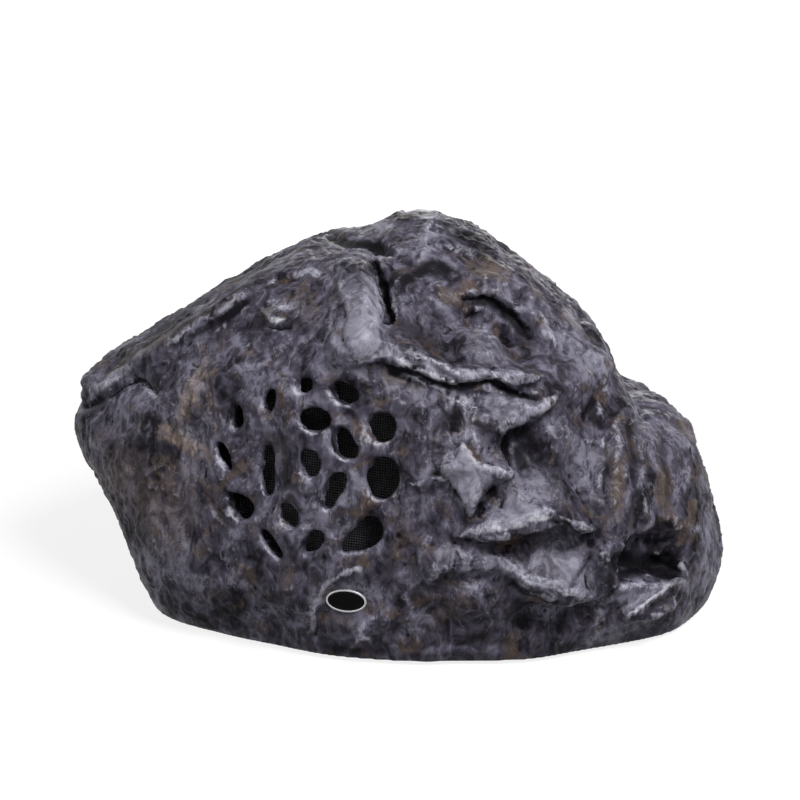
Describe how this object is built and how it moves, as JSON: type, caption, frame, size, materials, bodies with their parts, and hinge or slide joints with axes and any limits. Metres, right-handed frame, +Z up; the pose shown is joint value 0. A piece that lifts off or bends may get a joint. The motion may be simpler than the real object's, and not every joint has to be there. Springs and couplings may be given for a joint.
{
  "type": "rock shaped garden speaker",
  "caption": "Outdoor loudspeaker in a hollow moulded boulder, with irregular sound holes in one face, a driver behind them, a closed base on rubber feet and a rear cable gland",
  "frame": {"origin": "On the ground under the middle of the rock's box, at the bottom of its feet", "axes": "+X to the right of the pierced face, +Y to the back, +Z up"},
  "size_m": [0.4586, 0.3392, 0.2638],
  "materials": {
    "painted_fibreglass": "stone-coloured paint, dry-brushed, satin varnish",
    "black_enamel_plate": "black enamel with a pale edge",
    "screen_mesh": "fine woven mesh, matt dark grey",
    "black_rubber": "moulded, matt",
    "black_painted_steel": "pressed, black paint",
    "zinc_plated_steel": "pressed, zinc plated",
    "ferrite": "sintered, ground",
    "brown_film": "rolled film",
    "enamelled_copper": "wound wire, varnished",
    "black_paper": "pressed pulp, matt",
    "impregnated_cloth": "woven, resin dipped, pressed",
    "brown_board": "punched laminate with tinned tags",
    "stainless_steel": "rolled and headed",
    "black_plastic": "moulded, fine texture",
    "laminated_steel": "stacked sheet, varnished",
    "yellow_tape": "wound tape",
    "pale_plastic": "moulded",
    "brass": "turned"
  },
  "bodies": {
    "enclosure": {"rock_shell": "painted_fibreglass", "badge_plate": "black_enamel_plate", "grille_screen": "screen_mesh", "driver_gasket": "black_rubber", "driver_basket": "black_painted_steel", "driver_top_plate": "zinc_plated_steel", "driver_magnet": "ferrite", "driver_yoke": "zinc_plated_steel", "cone_surround": "black_rubber", "cone_spider": "impregnated_cloth", "driver_terminal_strip": "brown_board", "driver_screws": "stainless_steel", "base_plate": "black_plastic", "base_gasket": "black_rubber", "base_screws": "stainless_steel", "rubber_feet": "black_rubber", "transformer_core": "laminated_steel", "transformer_bobbin": "black_plastic", "transformer_winding": "yellow_tape", "transformer_strap": "zinc_plated_steel", "transformer_screws": "stainless_steel", "terminal_block": "pale_plastic", "terminal_block_screws": "brass", "cable_gland_body": "black_plastic", "cable_gland_seal": "black_rubber", "cable_gland_nut": "black_plastic", "cable_gland_locknut": "black_plastic"},
    "cone_assembly": {"driver_cone": "black_paper", "dust_cap": "black_paper", "voice_coil_former": "brown_film", "voice_coil_winding": "enamelled_copper"}
  },
  "joints": [
    {"name": "cone_travel", "type": "slide", "parent": "enclosure", "child": "cone_assembly", "axis": [-0.3368, -0.9254, 0.1736], "range_m": [-0.004, 0.004], "stiffness_N_per_m": 1500, "deforming": ["cone_surround", "cone_spider"]}
  ]
}
